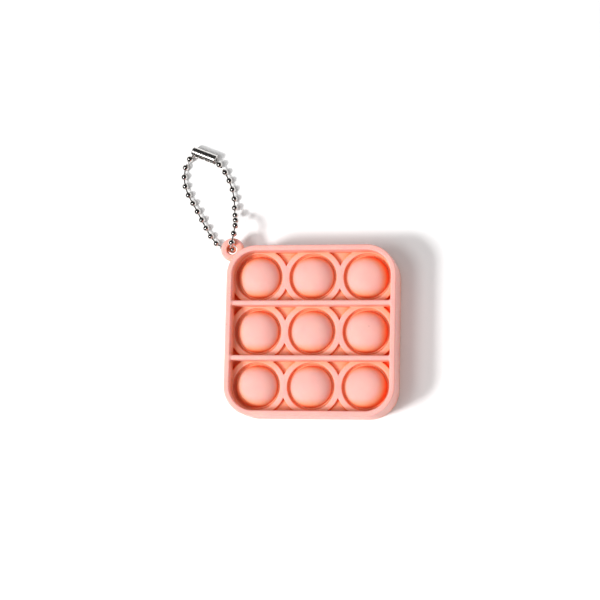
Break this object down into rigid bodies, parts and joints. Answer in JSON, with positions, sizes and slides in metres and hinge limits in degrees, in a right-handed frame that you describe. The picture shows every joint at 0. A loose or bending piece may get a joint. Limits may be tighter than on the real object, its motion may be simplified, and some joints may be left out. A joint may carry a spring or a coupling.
{
  "type": "push bubble fidget keychain",
  "caption": "Square silicone push-bubble fidget board in three barred rows, with a corner lug holding a loop of ball chain closed by a sleeve clasp.",
  "frame": {"origin": "middle of the whole object's outline, board and laid-out chain together, on the surface that the board's back lies on", "axes": "+Z out of the board's face, along the bubbles' travel; +Y across the rows, towards the side where the lug is; +X along the rows"},
  "size_m": [0.054, 0.066, 0.01],
  "materials": {
    "silicone": "soft matt moulded silicone, peach",
    "chain_steel": "bright nickel-plated steel",
    "clasp_steel": "bright nickel-plated sheet steel"
  },
  "bodies": {
    "board": {"rim": "silicone", "hanging_lug": "silicone", "divider_upper": "silicone", "divider_lower": "silicone", "web_top_row": "silicone", "web_middle_row": "silicone", "web_bottom_row": "silicone"},
    "bubble_top_left": {"bubble_top_left": "silicone"},
    "bubble_top_centre": {"bubble_top_centre": "silicone"},
    "bubble_top_right": {"bubble_top_right": "silicone"},
    "bubble_middle_left": {"bubble_middle_left": "silicone"},
    "bubble_middle_centre": {"bubble_middle_centre": "silicone"},
    "bubble_middle_right": {"bubble_middle_right": "silicone"},
    "bubble_bottom_left": {"bubble_bottom_left": "silicone"},
    "bubble_bottom_centre": {"bubble_bottom_centre": "silicone"},
    "bubble_bottom_right": {"bubble_bottom_right": "silicone"},
    "chain_at_lug": {"lug_ball": "chain_steel", "upper_ball_01": "chain_steel", "upper_ball_02": "chain_steel", "upper_ball_03": "chain_steel", "upper_ball_04": "chain_steel", "upper_ball_05": "chain_steel", "upper_ball_06": "chain_steel", "upper_ball_07": "chain_steel", "lower_ball_01": "chain_steel", "lower_ball_02": "chain_steel", "lower_ball_03": "chain_steel", "lower_ball_04": "chain_steel", "lower_ball_05": "chain_steel", "lower_ball_06": "chain_steel", "lower_ball_07": "chain_steel", "link_wires_1": "chain_steel"},
    "chain_near": {"upper_ball_08": "chain_steel", "upper_ball_09": "chain_steel", "lower_ball_08": "chain_steel", "lower_ball_09": "chain_steel", "link_wires_2": "chain_steel"},
    "chain_far": {"upper_ball_10": "chain_steel", "upper_ball_11": "chain_steel", "lower_ball_10": "chain_steel", "lower_ball_11": "chain_steel", "link_wires_3": "chain_steel"},
    "chain_end": {"upper_ball_12": "chain_steel", "lower_ball_12": "chain_steel", "lower_ball_13": "chain_steel", "lower_ball_14": "chain_steel", "link_wires_4": "chain_steel"},
    "clasp": {"clasp": "clasp_steel"}
  },
  "joints": [
    {"name": "pop_top_left", "type": "slide", "parent": "board", "child": "bubble_top_left", "axis": [0, 0, 1], "range_m": [-0.0074, 0], "deforming": ["bubble_top_left"]},
    {"name": "pop_top_centre", "type": "slide", "parent": "board", "child": "bubble_top_centre", "axis": [0, 0, 1], "range_m": [-0.0074, 0], "deforming": ["bubble_top_centre"]},
    {"name": "pop_top_right", "type": "slide", "parent": "board", "child": "bubble_top_right", "axis": [0, 0, 1], "range_m": [-0.0074, 0], "deforming": ["bubble_top_right"]},
    {"name": "pop_middle_left", "type": "slide", "parent": "board", "child": "bubble_middle_left", "axis": [0, 0, 1], "range_m": [-0.0074, 0], "deforming": ["bubble_middle_left"]},
    {"name": "pop_middle_centre", "type": "slide", "parent": "board", "child": "bubble_middle_centre", "axis": [0, 0, 1], "range_m": [-0.0074, 0], "deforming": ["bubble_middle_centre"]},
    {"name": "pop_middle_right", "type": "slide", "parent": "board", "child": "bubble_middle_right", "axis": [0, 0, 1], "range_m": [-0.0074, 0], "deforming": ["bubble_middle_right"]},
    {"name": "pop_bottom_left", "type": "slide", "parent": "board", "child": "bubble_bottom_left", "axis": [0, 0, 1], "range_m": [-0.0074, 0], "deforming": ["bubble_bottom_left"]},
    {"name": "pop_bottom_centre", "type": "slide", "parent": "board", "child": "bubble_bottom_centre", "axis": [0, 0, 1], "range_m": [-0.0074, 0], "deforming": ["bubble_bottom_centre"]},
    {"name": "pop_bottom_right", "type": "slide", "parent": "board", "child": "bubble_bottom_right", "axis": [0, 0, 1], "range_m": [-0.0074, 0], "deforming": ["bubble_bottom_right"]},
    {"name": "loop_swing", "type": "hinge", "parent": "board", "child": "chain_at_lug", "pos_m": [-0.0127, 0.00675, 0.005], "axis": [0, 0, 1], "range_deg": [-40, 55]},
    {"name": "loop_fold_1", "type": "hinge", "parent": "chain_at_lug", "child": "chain_near", "pos_m": [-0.0184, 0.01904, 0.0008], "axis": [0.9479, 0.3185, 0], "range_deg": [-20, 20]},
    {"name": "loop_fold_2", "type": "hinge", "parent": "chain_near", "child": "chain_far", "pos_m": [-0.0203, 0.02331, 0.0008], "axis": [0.946, 0.3241, 0], "range_deg": [-20, 20]},
    {"name": "loop_fold_3", "type": "hinge", "parent": "chain_far", "child": "chain_end", "pos_m": [-0.0221, 0.02746, 0.00101], "axis": [0.9509, 0.3057, 0.0489], "range_deg": [-20, 20]},
    {"name": "clasp_roll", "type": "hinge", "parent": "chain_end", "child": "clasp", "pos_m": [-0.02122, 0.03068, 0.00122], "axis": [-0.9297, 0.3684, 0], "range_deg": [-12, 12]}
  ]
}
